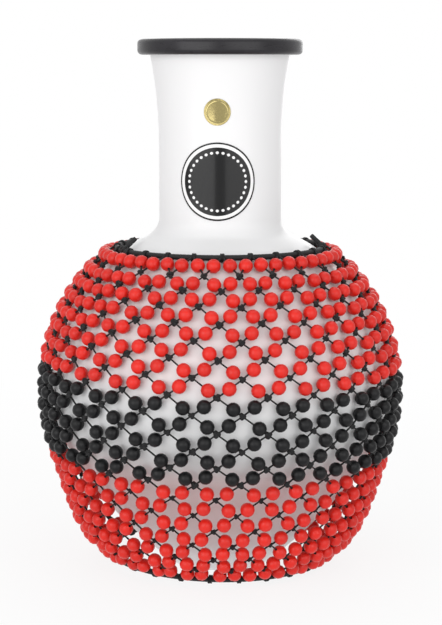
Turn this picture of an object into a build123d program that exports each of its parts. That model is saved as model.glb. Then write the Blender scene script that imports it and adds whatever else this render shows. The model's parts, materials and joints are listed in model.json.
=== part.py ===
"""Shekere: a hollow shell with a beaded cord net that turns and lifts on it.

Millimetres, +Z up, base on z = 0, front towards -Y.
Angles are in degrees from the front, positive to +X.
"""

import math
import os

from build123d import *

os.makedirs("parts", exist_ok=True)

# Shell
bulb_radius = 135.3
bulb_height = 141.0
base_radius = 40.0
base_slope = 38.0
base_inset_share = 0.5
bulb_fullness = 1.06
shell_wall = 3.0
neck_radius = 48.2
neck_flare_start = 335.0
neck_top_radius = 55.9
shoulder_fillet = 16.0
flange_width = 5.0
flange_thickness = 3.0
cut_margin = 10.0

# Rim trim
rim_height = 417.0
rim_radius = 64.8
rim_cap_thickness = 4.2
rim_skirt = 5.0
rim_inner_leg = 3.2
rim_corner = 3.6
rim_inner_corner = 1.4
rim_fit = 0.2

# Badge and foil seal on the neck
label_turn = -2.5
label_gap = 0.05
label_margin = 2.0
label_steps = 6
badge_height = 308.5
badge_radius = 30.0
badge_thickness = 0.6
foil_height = 361.5
foil_radius = 10.3
foil_thickness = 0.3

# Ropes, cord and beads
rope_radius = 2.2
cord_radius = 0.7
knot_radius = 2.3
bead_radius = 5.35
bore_clearance = 0.45
bead_gap = 1.2
net_clearance = 1.4
cord_gap = 0.45
rope_fit = 0.15
shell_gap = 0.4

# Net lattice
columns = 24
bead_rows = 20
collar_radius = 81.6
first_knot_latitude = 45.4
leave_latitude = -24.0
hem_radius = 85.6
hem_height = 6.2
hem_shift = -3.0
hem_tilt = 1.4
last_row_share = 1.37
skirt_start_slope = 17.5
skirt_end_slope = 62.0
skirt_fullness = 1.08
skirt_steps = 240
knot_phase = -0.8
top_twist = 1.8
top_twist_rows = 5
low_twist = -2.2
low_twist_start = 13
low_twist_rows = 4
side_lift = 8.4
side_lift_rows = 7
side_lift_power = 3
pair_half_angle = 3.2
pair_skew = 0.45
knot_wander = 0.5
bead_wander = 0.1
wander_steps = (12.9898, 78.233, 37.719)

# Lashings, rope knots and tails
lashing_length = 3.2
lashing_squeeze = 0.8
cord_start_share = 0.6
top_cord_spread = 1.05
rope_knot_radius = 3.7
rope_knot_spread = 1.5
rope_knot_bore = 0.35
tail_share = 0.85
collar_tail = 12.0
hem_tail_long = 30.0
hem_tail_short = 17.0
left_knot_column = -4.5
right_knot_column = 5.5
hem_knot_column = 3.5

# Ways of the tails and places of the rope knots beside their rope, as outward and upward parts
collar_tail_way = (-0.74, 0.67)
collar_knot_offset = (-0.45, 1.75)
hem_long_tail_way = (0.40, 0.92)
hem_short_tail_way = (-0.90, 0.43)
hem_knot_offset = (-2.1, 1.3)

# Values that follow from the sizes above
bore_radius = cord_radius + bore_clearance
lashing_inner = rope_radius + rope_fit
lashing_outer = lashing_inner + 2 * cord_radius * lashing_squeeze
collar_offset = bulb_radius + shell_gap + lashing_outer
collar_height = bulb_height + math.sqrt(collar_offset**2 - collar_radius**2)
net_radius = bulb_radius + bead_radius + net_clearance
flange_top = rim_height - rim_cap_thickness
flange_bottom = flange_top - flange_thickness
rim_bottom = flange_bottom - rim_skirt
neck_flare_rise = flange_bottom - neck_flare_start
neck_flare_step = neck_top_radius - neck_radius
neck_flare_radius = (neck_flare_rise**2 + neck_flare_step**2) / (2 * neck_flare_step)
column_angle = 360.0 / columns


def fraction_between(start, end, share):
    """The point at a share of the way between two points of the same size."""
    return tuple(a + (b - a) * share for a, b in zip(start, end))


def around(radius, height, angle):
    """The point at a radius and height, turned from the front by an angle."""
    turn = math.radians(angle)
    return (radius * math.sin(turn), -radius * math.cos(turn), height)


def wander(row, column, salt):
    """A fixed small irregularity between -1 and 1 for one place of the net."""
    parts = (row, column % columns, salt)
    return math.sin(sum(step * part for step, part in zip(wander_steps, parts)))


def skirt_points():
    """The hanging part of the net's outline, from where it leaves the bulb to the hem."""
    leave = math.radians(leave_latitude)
    start = (net_radius * math.cos(leave), bulb_height + net_radius * math.sin(leave))
    end = (hem_radius, hem_height)
    reach = skirt_fullness * math.dist(start, end)
    lean = math.radians(skirt_start_slope)
    tuck = math.radians(skirt_end_slope)
    leave_pull = (-reach * math.sin(lean), -reach * math.cos(lean))
    hem_pull = (-reach * math.sin(tuck), -reach * math.cos(tuck))
    points = []
    for step in range(skirt_steps + 1):
        t = step / skirt_steps
        weights = (2 * t**3 - 3 * t**2 + 1, t**3 - 2 * t**2 + t, 3 * t**2 - 2 * t**3, t**3 - t**2)
        parts = (start, leave_pull, end, hem_pull)
        points.append(tuple(sum(w * p[axis] for w, p in zip(weights, parts)) for axis in (0, 1)))
    return points


skirt = skirt_points()
skirt_length = sum(math.dist(a, b) for a, b in zip(skirt, skirt[1:]))
hug_length = math.radians(first_knot_latitude - leave_latitude) * net_radius
row_pitch = (hug_length + skirt_length) / (bead_rows - 2 + last_row_share)


def net_outline(length):
    """Radius and height of the net at a length measured down from the first row of knots."""
    if length <= hug_length:
        latitude = math.radians(first_knot_latitude) - length / net_radius
        return (net_radius * math.cos(latitude), bulb_height + net_radius * math.sin(latitude))
    rest = length - hug_length
    for a, b in zip(skirt, skirt[1:]):
        step = math.dist(a, b)
        if rest <= step:
            return fraction_between(a, b, rest / step)
        rest -= step
    past = rest / math.dist(skirt[-2], skirt[-1])
    return fraction_between(skirt[-2], skirt[-1], 1 + past)


def row_turn(row):
    """The angle of the knot nearest the front in one row of knots."""
    stagger = column_angle / 2 if row % 2 else 0.0
    top = top_twist * max(0.0, 1 - row / top_twist_rows)
    low = low_twist * min(1.0, max(0.0, (row - low_twist_start) / low_twist_rows))
    return knot_phase + stagger + top + low


def hem_plane():
    """The plane of the hem rope's ring, a little higher at the left."""
    lean = math.radians(hem_tilt)
    return Plane(
        origin=(hem_shift, 0, hem_height),
        x_dir=(math.cos(lean), 0, -math.sin(lean)),
        z_dir=(math.sin(lean), 0, math.cos(lean)),
    )


def hem_point(column):
    """The centre of the hem rope at a column, which may be a half column."""
    turn = row_turn(bead_rows) + column_angle * column
    return tuple(hem_plane().from_local_coords(Vector(*around(hem_radius, 0, turn))))


def hem_direction(column):
    """The hem rope's direction at a column."""
    before = hem_point(column - 0.01)
    after = hem_point(column + 0.01)
    return tuple(Vector(*(b - a for a, b in zip(before, after))).normalized())


def knot_point(row, column):
    """The centre of one knot. Row 0 is at the collar lashings and the last row at the hem lashings."""
    angle = row_turn(row) + column_angle * column
    if row == bead_rows:
        return hem_point(column)
    if row == 0:
        return around(collar_radius + lashing_outer + cord_radius + cord_gap, collar_height, angle)
    side = ((1 - math.sin(math.radians(angle))) / 2) ** side_lift_power - 0.5**side_lift_power
    lift = side_lift * min(1.0, row / side_lift_rows) * side
    length = (row - 1) * row_pitch - lift + knot_wander * wander(row, column, 1)
    radius, height = net_outline(length)
    return around(radius, height, angle + math.degrees(knot_wander * wander(row, column, 2) / radius))


def lower_columns(row, column):
    """The columns of the two knots below a knot: right one first."""
    return (column + 1, column) if row % 2 else (column, column - 1)


def cord_ends(row, column, side):
    """Where the cord that leaves a knot to the right (1) or left (-1) starts and ends."""
    right, left = lower_columns(row, column)
    foot = knot_point(row + 1, right if side > 0 else left)
    top = knot_point(row, column)
    if row == 0:
        across = around(top_cord_spread * side, 0, row_turn(0) + column_angle * column + 90)
        top = tuple(a + b for a, b in zip(top, across))
    return top, foot


def foot_radius(row):
    """How thick the thing is that the cords below a row of knots are tied to."""
    return lashing_outer if row == bead_rows - 1 else knot_radius


def share_at_angle(top, foot, angle):
    """How far along a cord it is still an angle away from its lower end, seen from above."""
    top_radius = math.hypot(top[0], top[1])
    foot_reach = math.hypot(foot[0], foot[1])
    turned = abs(top[0] * foot[1] - top[1] * foot[0]) / (top_radius * foot_reach)
    tangent = math.tan(math.radians(angle))
    ratio = top_radius * (turned - tangent * math.sqrt(1 - turned**2)) / (foot_reach * tangent)
    return ratio / (1 + ratio)


def foot_room(row, column, side):
    """How far a bead stays up its cord, clear of what the cord is tied to and of the hem rope."""
    room = bead_radius + foot_radius(row - 1) + cord_gap
    if row < bead_rows:
        return room
    top, foot = cord_ends(row - 1, column, side)
    right, left = lower_columns(row - 1, column)
    rope = Vector(*hem_direction(right if side > 0 else left))
    cord = Vector(*(a - b for a, b in zip(top, foot))).normalized()
    return max(room, (bead_radius + rope_radius + cord_gap) / cord.cross(rope).length)


def bead_share(row, column, side):
    """How far along its cord a bead sits, clear of the knots at both ends."""
    top, foot = cord_ends(row - 1, column, side)
    middle = fraction_between(top, foot, 0.5)
    radius = math.hypot(middle[0], middle[1])
    spread = math.degrees((bead_radius + bead_gap / 2) / radius)
    half_angle = min(max(pair_half_angle, spread), column_angle / 4)
    slack = math.pi * radius / columns - 2 * bead_radius - bead_gap
    loose = min(1.0, max(0.0, slack / 2))
    half_angle += loose * (bead_wander * wander(row, column, 4 + side) - side * pair_skew)
    share = share_at_angle(top, foot, half_angle)
    length = math.dist(top, foot)
    lowest = 1 - foot_room(row, column, side) / length
    highest = (bead_radius + knot_radius + cord_gap) / length
    return min(max(share, highest), lowest)


def bead_places(row):
    """A plane for each bead of one row: on its cord's line, with the bore along the cord."""
    planes = []
    for column in range(columns):
        for side in (1, -1):
            top, foot = cord_ends(row - 1, column, side)
            place = fraction_between(top, foot, bead_share(row, column, side))
            planes.append(Plane(origin=place, z_dir=tuple(b - a for a, b in zip(top, foot))))
    return planes


def cord_between(start, end, start_gap, end_gap):
    """A plane at the start of a straight cord, and the cord's length."""
    length = math.dist(start, end)
    first = fraction_between(start, end, start_gap / length)
    along = tuple(b - a for a, b in zip(start, end))
    return Plane(origin=first, z_dir=along), length - start_gap - end_gap


def strand(row, column):
    """One knot with the two cords that leave it downwards."""
    knot = knot_point(row, column)
    seat = Plane(origin=knot, x_dir=(0, 0, 1), z_dir=(knot[0], knot[1], 0))
    with BuildPart() as piece:
        with Locations(seat.location):
            Sphere(knot_radius)
        for side in (1, -1):
            top, foot = cord_ends(row, column, side)
            plane, length = cord_between(top, foot, knot_radius * cord_start_share, foot_radius(row) + cord_gap)
            with Locations(plane.location):
                Cylinder(cord_radius, length, align=(Align.CENTER, Align.CENTER, Align.MIN))
    return piece.part


def top_cord(column, side):
    """One cord from a collar lashing to the first row of knots."""
    top, foot = cord_ends(0, column, side)
    plane, length = cord_between(top, foot, 0.0, foot_radius(0) + cord_gap)
    with BuildPart() as piece:
        with Locations(plane.location):
            Cylinder(cord_radius, length, align=(Align.CENTER, Align.CENTER, Align.MIN))
    return piece.part


def lashing(centre, along):
    """A short sleeve of wound cord round a rope."""
    with BuildPart() as sleeve:
        with Locations(Plane(origin=centre, z_dir=along).location):
            Cylinder(lashing_outer, lashing_length)
            Cylinder(lashing_inner, lashing_length * 2, mode=Mode.SUBTRACT)
    return sleeve.part


def rope_knot(centre, along, offset, tails):
    """A lump of tied rope, bored for the rope it sits on, with its loose tails."""
    middle = tuple(c + o for c, o in zip(centre, offset))
    seam = tuple(-part for part in tails[0][0])
    with BuildPart() as lump:
        for shift in (-rope_knot_spread, rope_knot_spread):
            place = tuple(m + shift * a for m, a in zip(middle, along))
            with Locations(Plane(origin=place, x_dir=seam, z_dir=along).location):
                Sphere(rope_knot_radius)
        for direction, length in tails:
            with Locations(Plane(origin=middle, z_dir=direction).location):
                Cylinder(rope_radius * tail_share, length, align=(Align.CENTER, Align.CENTER, Align.MIN))
        with Locations(Plane(origin=centre, x_dir=seam, z_dir=along).location):
            Cylinder(rope_radius + rope_knot_bore, rope_knot_radius * 6, mode=Mode.SUBTRACT)
    return lump.part


def neck_outline(height):
    """The outer radius of the neck at a height in its straight or flared stretch."""
    rise = max(0.0, height - neck_flare_start)
    return neck_radius + neck_flare_radius - math.sqrt(neck_flare_radius**2 - rise**2)


def neck_inside(height):
    """The inner radius of the neck at a height in its straight or flared stretch."""
    rise = max(0.0, height - neck_flare_start)
    return neck_radius + neck_flare_radius - math.sqrt((neck_flare_radius + shell_wall) ** 2 - rise**2)


def neck_label(height, radius, thickness):
    """A thin round label that is wrapped on the neck."""
    reach = radius + label_margin
    neck = neck_outline(height)
    half_width = neck * math.sin(radius / neck)
    out = around(1, 0, label_turn)
    across = around(1, 0, label_turn + 90)
    levels = [height + reach * step / label_steps for step in range(-label_steps, label_steps + 1)]
    inside = [(neck_outline(level) + label_gap, level) for level in levels]
    outside = [(r + thickness, z) for r, z in reversed(inside)]
    with BuildPart() as label:
        with BuildSketch(Plane.XZ):
            with BuildLine():
                Spline(*inside)
                Line(inside[-1], outside[0])
                Spline(*outside)
                Line(outside[-1], inside[0])
            make_face()
        revolve(axis=Axis.Z)
        with BuildSketch(Plane(origin=(0, 0, height), x_dir=across, z_dir=out)):
            Ellipse(half_width, radius)
        extrude(amount=rim_radius * 2, mode=Mode.INTERSECT)
    return label.part


# Shell: the outer form, then the same form one wall smaller taken out of it
fillet_radius_at = neck_radius + shoulder_fillet
fillet_reach = bulb_radius + shoulder_fillet
fillet_height = bulb_height + math.sqrt(fillet_reach**2 - fillet_radius_at**2)


def shell_outline(wall):
    """The profile from the axis at the base to the axis at the mouth, set in by a wall."""
    bulb = bulb_radius - wall
    foot = (base_radius - wall * base_inset_share, wall)
    waist = (bulb, bulb_height)
    pull = bulb_fullness * bulb_height / 3
    slope = math.radians(base_slope)
    foot_pull = (foot[0] + pull * math.cos(slope), foot[1] + pull * math.sin(slope))
    share = bulb / fillet_reach
    shoulder = (fillet_radius_at * share, bulb_height + (fillet_height - bulb_height) * share)
    neck_foot = (neck_radius - wall, fillet_height)
    flare_foot = (neck_radius - wall, neck_flare_start)
    flare = neck_flare_radius + wall
    top = flange_bottom if wall == 0 else flange_top + cut_margin
    flare_in = math.sqrt(flare**2 - (top - neck_flare_start) ** 2)
    flare_top = (neck_radius + neck_flare_radius - flare_in, top)
    Line((0, wall), foot)
    Bezier(foot, foot_pull, (bulb, bulb_height - pull), waist)
    RadiusArc(waist, shoulder, -bulb)
    RadiusArc(shoulder, neck_foot, shoulder_fillet + wall)
    Line(neck_foot, flare_foot)
    RadiusArc(flare_foot, flare_top, flare)
    return flare_top


with BuildPart() as shell:
    with BuildSketch(Plane.XZ):
        with BuildLine():
            lip = shell_outline(0)
            flange_edge = neck_top_radius + flange_width
            Polyline(lip, (flange_edge, flange_bottom), (flange_edge, flange_top))
            Polyline((flange_edge, flange_top), (0, flange_top), (0, 0))
        make_face()
    revolve(axis=Axis.Z)
    with BuildSketch(Plane.XZ):
        with BuildLine():
            inner_lip = shell_outline(shell_wall)
            Polyline(inner_lip, (0, inner_lip[1]), (0, shell_wall))
        make_face()
    revolve(axis=Axis.Z, mode=Mode.SUBTRACT)
shell.part.label = "shell"
export_step(shell.part, "parts/shell.step")

# Rim trim: a rubber channel over the flange
trim_groove = neck_top_radius + flange_width + rim_fit
trim_inside = neck_inside(rim_bottom) - rim_fit
trim_bore = trim_inside - rim_inner_leg
trim_corners = [
    (neck_top_radius + rim_fit, rim_bottom),
    (rim_radius, rim_bottom),
    (rim_radius, rim_height),
    (trim_bore, rim_height),
    (trim_bore, rim_bottom),
    (trim_inside, rim_bottom),
    (trim_inside, flange_top + rim_fit / 2),
    (trim_groove, flange_top + rim_fit / 2),
    (trim_groove, flange_bottom - rim_fit / 2),
    (neck_top_radius + rim_fit, flange_bottom - rim_fit / 2),
]
with BuildPart() as rim_trim:
    with BuildSketch(Plane.XZ) as trim_section:
        with BuildLine():
            Polyline(*trim_corners, close=True)
        make_face()
        outer_corners = trim_section.vertices().group_by(Axis.X)[-1]
        fillet(outer_corners, rim_corner)
        inner_corners = trim_section.vertices().group_by(Axis.X)[0]
        fillet(inner_corners, rim_inner_corner)
    revolve(axis=Axis.Z)
rim_trim.part.label = "rim_trim"
export_step(rim_trim.part, "parts/rim_trim.step")

# Badge and foil seal
with BuildPart() as badge_disc:
    add(neck_label(badge_height, badge_radius, badge_thickness))
badge_disc.part.label = "badge_disc"
export_step(badge_disc.part, "parts/badge_disc.step")

with BuildPart() as foil_seal:
    add(neck_label(foil_height, foil_radius, foil_thickness))
foil_seal.part.label = "foil_seal"
export_step(foil_seal.part, "parts/foil_seal.step")

# Collar rope with its lashings and two knots
with BuildPart() as collar_rope:
    with Locations((0, 0, collar_height)):
        Torus(collar_radius, rope_radius)
collar_rope.part.label = "collar_rope"
export_step(collar_rope.part, "parts/collar_rope.step")

with BuildPart() as collar_lashings:
    sleeves = []
    for column in range(columns):
        turn = row_turn(0) + column_angle * column
        sleeves.append(lashing(around(collar_radius, collar_height, turn), around(1, 0, turn + 90)))
    add(sleeves)
collar_lashings.part.label = "collar_lashings"
export_step(collar_lashings.part, "parts/collar_lashings.step")


def collar_knot(column):
    """A knot of the collar rope halfway between two lashings, with a tail up the shoulder."""
    turn = row_turn(0) + column_angle * column
    upward = around(*collar_tail_way, turn)
    centre = around(collar_radius, collar_height, turn)
    offset = around(*collar_knot_offset, turn)
    return rope_knot(centre, around(1, 0, turn + 90), offset, [(upward, collar_tail)])


with BuildPart() as collar_knot_left:
    add(collar_knot(left_knot_column))
collar_knot_left.part.label = "collar_knot_left"
export_step(collar_knot_left.part, "parts/collar_knot_left.step")

with BuildPart() as collar_knot_right:
    add(collar_knot(right_knot_column))
collar_knot_right.part.label = "collar_knot_right"
export_step(collar_knot_right.part, "parts/collar_knot_right.step")

# Top cords, from the collar lashings through the first beads
with BuildPart() as top_cords:
    add([top_cord(column, side) for column in range(columns) for side in (1, -1)])
top_cords.part.label = "top_cords"
export_step(top_cords.part, "parts/top_cords.step")

# Rows of beads
with BuildPart() as bead:
    Sphere(bead_radius)
    Cylinder(bore_radius, bead_radius * 3, mode=Mode.SUBTRACT)

for row in range(1, bead_rows + 1):
    with BuildPart() as bead_row:
        with Locations(*[plane.location for plane in bead_places(row)]):
            add(bead.part)
    bead_row.part.label = f"bead_row_{row:02d}"
    export_step(bead_row.part, f"parts/bead_row_{row:02d}.step")

# Rows of knots with their cords
for row in range(1, bead_rows):
    with BuildPart() as cord_row:
        add([strand(row, column) for column in range(columns)])
    cord_row.part.label = f"cord_row_{row:02d}"
    export_step(cord_row.part, f"parts/cord_row_{row:02d}.step")

# Hem rope with its lashings and knot
with BuildPart() as hem_rope:
    with Locations(hem_plane().location):
        Torus(hem_radius, rope_radius)
hem_rope.part.label = "hem_rope"
export_step(hem_rope.part, "parts/hem_rope.step")

with BuildPart() as hem_lashings:
    add([lashing(hem_point(column), hem_direction(column)) for column in range(columns)])
hem_lashings.part.label = "hem_lashings"
export_step(hem_lashings.part, "parts/hem_lashings.step")

with BuildPart() as hem_knot:
    knot_turn = row_turn(bead_rows) + column_angle * hem_knot_column
    long_tail = (around(*hem_long_tail_way, knot_turn), hem_tail_long)
    short_tail = (around(*hem_short_tail_way, knot_turn), hem_tail_short)
    tucked = around(*hem_knot_offset, knot_turn)
    knot_seat = hem_point(hem_knot_column)
    add(rope_knot(knot_seat, hem_direction(hem_knot_column), tucked, [long_tail, short_tail]))
hem_knot.part.label = "hem_knot"
export_step(hem_knot.part, "parts/hem_knot.step")
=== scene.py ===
"""Shekere: the finish of its shell, trim, labels, beads, cords and ropes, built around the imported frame."""

import json
import math

import bmesh
import bpy
import numpy as np
from bpy.props import FloatProperty, FloatVectorProperty, IntProperty, PointerProperty
from mathutils import Matrix, Vector


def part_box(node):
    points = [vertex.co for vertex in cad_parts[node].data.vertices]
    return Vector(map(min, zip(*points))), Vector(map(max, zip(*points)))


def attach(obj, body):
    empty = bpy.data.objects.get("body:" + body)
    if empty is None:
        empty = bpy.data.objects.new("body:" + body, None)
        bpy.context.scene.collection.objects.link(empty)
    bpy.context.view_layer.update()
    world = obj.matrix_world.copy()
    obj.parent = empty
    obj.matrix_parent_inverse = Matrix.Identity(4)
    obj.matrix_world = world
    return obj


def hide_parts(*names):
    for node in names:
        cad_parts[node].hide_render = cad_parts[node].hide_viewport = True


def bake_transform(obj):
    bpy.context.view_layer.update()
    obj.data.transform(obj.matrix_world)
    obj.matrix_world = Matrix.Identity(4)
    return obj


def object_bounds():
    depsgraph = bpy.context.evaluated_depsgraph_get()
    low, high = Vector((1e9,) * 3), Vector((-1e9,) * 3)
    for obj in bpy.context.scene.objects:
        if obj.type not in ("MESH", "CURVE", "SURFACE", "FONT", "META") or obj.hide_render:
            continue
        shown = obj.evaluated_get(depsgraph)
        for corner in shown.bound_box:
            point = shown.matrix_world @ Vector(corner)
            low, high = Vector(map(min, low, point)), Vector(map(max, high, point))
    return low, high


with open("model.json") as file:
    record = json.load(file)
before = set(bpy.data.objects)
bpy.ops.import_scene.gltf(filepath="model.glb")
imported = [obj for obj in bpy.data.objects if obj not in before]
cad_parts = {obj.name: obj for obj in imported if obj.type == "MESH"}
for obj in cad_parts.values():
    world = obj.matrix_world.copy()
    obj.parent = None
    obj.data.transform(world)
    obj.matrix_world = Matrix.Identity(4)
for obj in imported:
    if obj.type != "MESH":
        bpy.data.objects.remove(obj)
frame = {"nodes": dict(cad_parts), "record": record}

bl_info = {
    "name": "Shekere",
    "version": (1, 0, 0),
    "blender": (4, 5, 0),
    "location": "View3D > Sidebar > Shekere",
    "description": "Builds a beaded shekere around its packed frame",
    "category": "Object",
}

# What the frame holds
cad_low, cad_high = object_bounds()
bead_rows = sorted(name for name in frame["nodes"] if name.startswith("bead_row"))
cord_rows = sorted(name for name in frame["nodes"] if name.startswith("cord_row"))
bead_finishes = {"bead_red": "red_plastic", "bead_black": "black_plastic"}
slot_of = {part["node"]: part["material_slot"] for part in frame["record"]["subparts"]}

# Within this share of a bead's radius all triangles belong to its bore
bore_share = 0.6
# Within this reach of its tip all points of a cord belong to its cut end
cord_end_reach = 0.0016


# Readings from the frame

def node_solids(node):
    """The points and triangles of each separate solid of a CAD node."""
    mesh = frame["nodes"][node].data
    points = np.empty(len(mesh.vertices) * 3)
    mesh.vertices.foreach_get("co", points)
    corners = np.empty(len(mesh.loops), int)
    mesh.loops.foreach_get("vertex_index", corners)
    merged, index = np.unique(points.reshape(-1, 3).round(6), axis=0, return_inverse=True)
    triangles = index.ravel()[corners].reshape(-1, 3)
    label = np.arange(len(merged))
    settled = False
    while not settled:
        spread = label.copy()
        np.minimum.at(spread, triangles.ravel(), np.repeat(label[triangles].min(axis=1), 3))
        spread = spread[spread]
        settled = np.array_equal(spread, label)
        label = spread
    solids = []
    for solid in np.unique(label):
        faces = triangles[label[triangles[:, 0]] == solid]
        solids.append((merged[label == solid], merged[faces]))
    return solids


def thin_axis(vectors):
    """The direction in which a set of vectors reaches least."""
    return np.linalg.eigh(vectors.T @ vectors)[1][:, 0]


def bead_places(node):
    """The centre and bore direction of each bead of a row, pointing down."""
    places = []
    for points, triangles in node_solids(node):
        centre = (points.min(axis=0) + points.max(axis=0)) / 2
        radius = np.linalg.norm(points - centre, axis=1).max()
        depth = np.linalg.norm(triangles.mean(axis=1) - centre, axis=1)
        bore = triangles[depth < radius * bore_share]
        normals = np.cross(bore[:, 1] - bore[:, 0], bore[:, 2] - bore[:, 0])
        axis = thin_axis(normals / np.linalg.norm(normals, axis=1)[:, None])
        places.append((Vector(centre), Vector(axis if axis[2] < 0 else -axis)))
    return places


def cord_end(points, tip):
    """The centre of a cord's cut end around a tip point, and the cord's direction there."""
    circle = points[np.linalg.norm(points - tip, axis=1) < cord_end_reach]
    centre = circle.mean(axis=0)
    return Vector(centre), Vector(thin_axis(circle - centre))


def strand_places(node):
    """The knot and the two cut cord ends of each strand of a row, the right end first."""
    strands = []
    for points, _ in node_solids(node):
        top = points[points[:, 2].argmax()]
        side = top[0] * points[:, 1] - top[1] * points[:, 0]
        reach = np.linalg.norm(points - top, axis=1)
        tips = [points[np.where(half, reach, 0).argmax()] for half in (side > 0, side < 0)]
        (right, right_way), (left, left_way) = [cord_end(points, tip) for tip in tips]
        between = right - left
        lean = right_way.dot(left_way)
        along = (lean * left_way.dot(between) - right_way.dot(between)) / (1 - lean**2)
        strands.append((right + right_way * along, right, left))
    return strands


def cord_places(node):
    """The upper and lower end of each straight cord of a node."""
    cords = []
    for points, _ in node_solids(node):
        top = points[points[:, 2].argmax()]
        tip = points[np.linalg.norm(points - top, axis=1).argmax()]
        cords.append((cord_end(points, top)[0], cord_end(points, tip)[0]))
    return cords


def ring_place(node):
    """The centre, normal, ring radius and rope radius of a ring of rope."""
    points = np.concatenate([points for points, _ in node_solids(node)])
    centre = (points.min(axis=0) + points.max(axis=0)) / 2
    normal = thin_axis(points - centre)
    normal = normal * np.sign(normal[2])
    reach = np.linalg.norm(np.cross(points - centre, normal), axis=1)
    low, high = reach.min(), reach.max()
    return Vector(centre), Vector(normal), (high + low) / 2, (high - low) / 2


def lashing_places(node):
    """The centre and rope direction of each lashing of a node."""
    places = []
    for points, _ in node_solids(node):
        centre = (points.min(axis=0) + points.max(axis=0)) / 2
        places.append((Vector(centre), Vector(thin_axis(points - centre))))
    return places


def outward(place):
    """The level direction from the shell's axis to a place."""
    return Vector((place[0], place[1], 0)).normalized()


# Sizes and colours that a user would change

def length(name, default, about):
    return FloatProperty(name=name, default=default, description=about, unit="LENGTH", precision=5, min=0.0)


def number(name, default, about, least=0):
    return IntProperty(name=name, default=default, description=about, min=least)


def portion(name, default, about):
    return FloatProperty(name=name, default=default, description=about, subtype="FACTOR", min=0.0, max=1.0)


def tilt(name, degrees, about):
    return FloatProperty(name=name, default=math.radians(degrees), description=about, subtype="ANGLE")


def colour(name, default, about):
    return FloatVectorProperty(
        name=name, default=default, description=about, subtype="COLOR", size=3, min=0.0, max=1.0
    )


class ShellSizes(bpy.types.PropertyGroup):
    """Sizes of the shell, its rim trim and its labels."""

    bulb_radius: length("Bulb radius", 0.1353, "Outer radius of the round bulb")
    bulb_height: length("Bulb height", 0.141, "Height of the bulb's widest level")
    base_radius: length("Base radius", 0.04, "Radius of the flat base")
    base_slope: tilt("Base slope", 38, "Slope of the bulb at the base")
    wall: length("Wall", 0.003, "Thickness of the shell")
    neck_radius: length("Neck radius", 0.0482, "Outer radius of the straight neck")
    flare_start: length("Flare start", 0.335, "Height where the neck starts to widen")
    neck_top_radius: length("Neck top radius", 0.0559, "Outer radius of the neck under its flange")
    shoulder_fillet: length("Shoulder fillet", 0.016, "Radius of the corner between bulb and neck")
    flange_width: length("Flange width", 0.005, "How far the flange stands out of the neck")
    flange_thickness: length("Flange thickness", 0.003, "Thickness of the flange")
    rim_cap: length("Rim cap", 0.0042, "Thickness of the trim above the flange")
    rim_skirt: length("Rim skirt", 0.005, "Depth of the trim below the flange")
    rim_leg: length("Rim leg", 0.0032, "Thickness of the trim's inner leg")
    rim_fit: length("Rim fit", 0.0002, "Room between the trim and the flange")
    rim_corner: length("Rim corner", 0.0036, "Rounding of the trim's outer corners")
    rim_inner_corner: length("Rim inner corner", 0.0014, "Rounding of the trim's inner corners")
    label_turn: tilt("Label turn", -2.5, "Turn of the labels from the front")
    badge_lift: length("Badge lift", 0.00065, "How far the badge stands off the neck")
    foil_lift: length("Foil lift", 0.00035, "How far the foil seal stands off the neck")
    segments: number("Segments", 176, "Steps round the shell", 16)


class NetSizes(bpy.types.PropertyGroup):
    """Sizes of the beads, cords and ropes of the net."""

    bead_radius: length("Bead radius", 0.00546, "Radius of a bead")
    bore_radius: length("Bore radius", 0.00115, "Radius of a bead's bore")
    bead_segments: number("Bead segments", 14, "Steps round a bead", 6)
    bead_jitter: portion("Bead jitter", 0.012, "Share by which bead sizes vary")
    cord_radius: length("Cord radius", 0.00075, "Radius of the net's cord")
    cord_sides: number("Cord sides", 7, "Sides of the cord's section", 3)
    cord_tuck: length("Cord tuck", 0.0021, "How far a cord runs on into the knot or lashing below it")
    knot_reach: length("Knot reach", 0.0033, "Reach of a knot from its middle")
    knot_cord: length("Knot cord", 0.00108, "Radius of the pressed cord in a knot")
    knot_jitter: portion("Knot jitter", 0.1, "Share by which knot sizes vary")
    loose_row: number("Loose row", 14, "First row of knots that hangs free", 1)
    loose_knot: portion("Loose knot", 0.78, "Share of a full knot where it hangs free")
    loose_tuck: length("Loose tuck", 0.0012, "How far the knots that hang free are moved inwards")
    lashing_cord: length("Lashing cord", 0.00056, "Radius of the cord in a lashing")
    lashing_turns: number("Lashing turns", 3, "Turns of cord in a lashing", 1)
    lashing_pitch: length("Lashing pitch", 0.00106, "Step from one turn of a lashing to the next")
    lashing_inner: length("Lashing inner", 0.00235, "Inner radius of a lashing")
    lashing_jitter: portion("Lashing jitter", 0.03, "Share by which lashing sizes vary")
    braid_relief: length("Braid relief", 0.00014, "Height of the rope's braid")
    braid_strands: number("Braid strands", 6, "Strands each way round the rope", 2)
    braid_pitch: length("Braid pitch", 0.0092, "Length of rope in which a strand goes round once")
    rope_sides: number("Rope sides", 24, "Sides of the rope's section", 8)
    rope_step: length("Rope step", 0.00105, "Length of rope between two rings of points")
    tail_radius: length("Tail radius", 0.00187, "Radius of the ropes' loose tails")
    rope_knot_reach: length("Rope knot reach", 0.0041, "Reach of a rope knot from its middle")
    rope_knot_cord: length("Rope knot cord", 0.00165, "Radius of the rope in a rope knot")
    collar_tail: length("Collar tail", 0.012, "Length of the collar knots' tails")
    hem_tail_long: length("Long hem tail", 0.03, "Length of the hem knot's outer tail")
    hem_tail_short: length("Short hem tail", 0.017, "Length of the hem knot's inner tail")
    seed: number("Seed", 7, "Seed of the small irregularities")


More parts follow.
